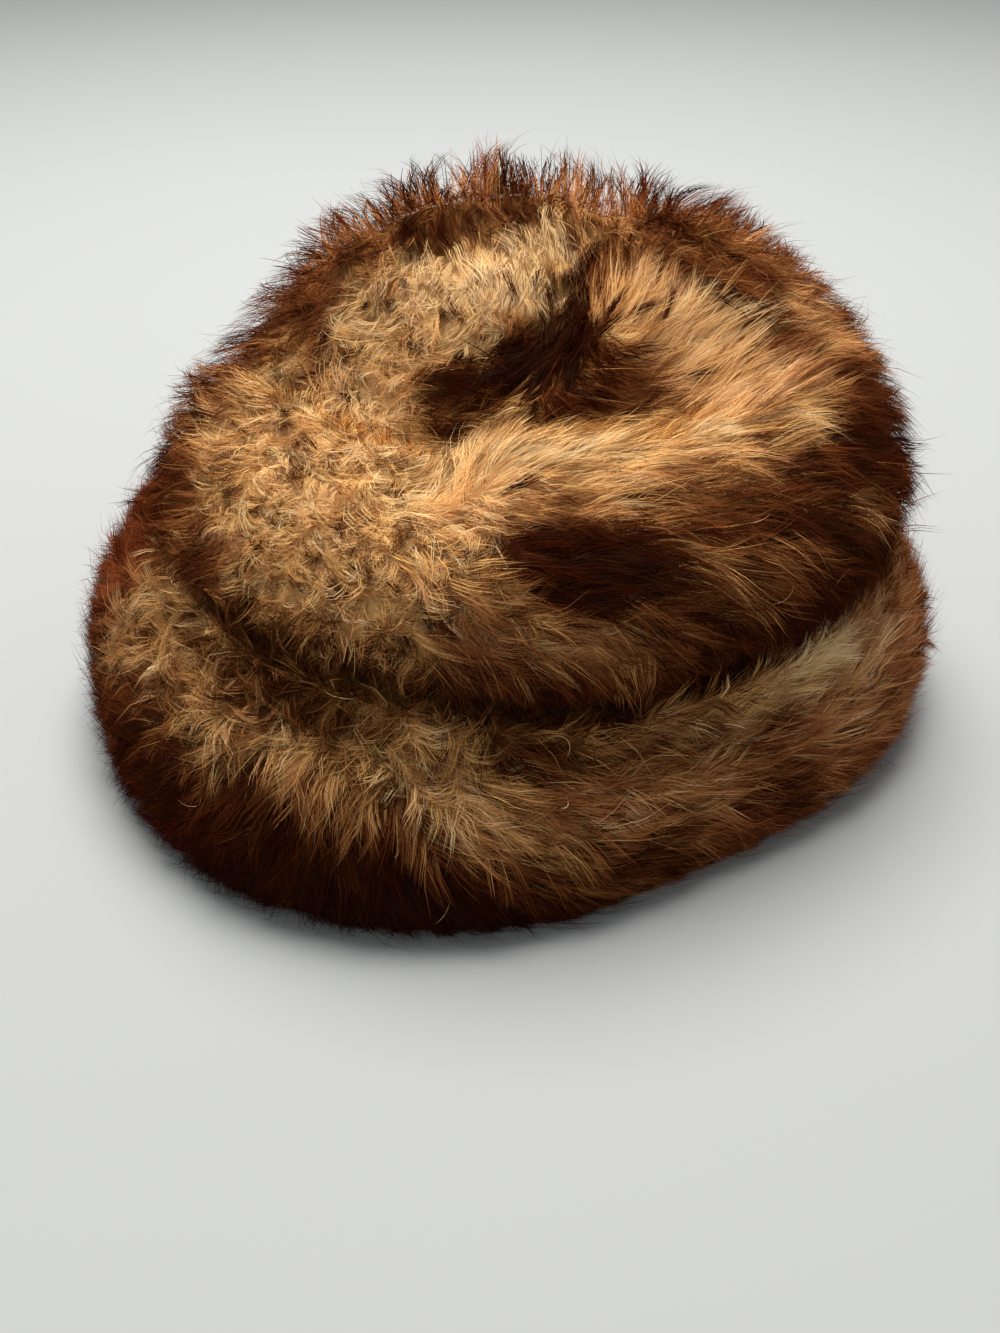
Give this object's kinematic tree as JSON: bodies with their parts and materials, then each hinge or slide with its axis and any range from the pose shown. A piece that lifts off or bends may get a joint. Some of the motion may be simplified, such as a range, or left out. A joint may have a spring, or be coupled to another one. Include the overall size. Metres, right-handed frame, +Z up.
{
  "type": "fur hat with turned-up cuff",
  "caption": "Soft sheepskin hat with the fur outside: a domed crown of joined panels, pushed in along a cross fold, inside a wide turned-up fur cuff.",
  "frame": {"origin": "middle of the hat's outline, on the surface it rests on", "axes": "+Z up through the crown, +Y along the long way of the head oval, +X across it; the crown's low side faces between +X and -Y"},
  "size_m": [0.2506, 0.2848, 0.1532],
  "materials": {
    "crown_fur_left": "pale gold and brown sheepskin fur, soft sheen",
    "crown_fur_right": "brown sheepskin fur with pale and dark patches",
    "cuff_fur": "mid to dark brown sheepskin fur"
  },
  "bodies": {
    "root": {"crown_left_panel": "crown_fur_left", "crown_right_panel": "crown_fur_right", "cuff": "cuff_fur"}
  },
  "joints": []
}
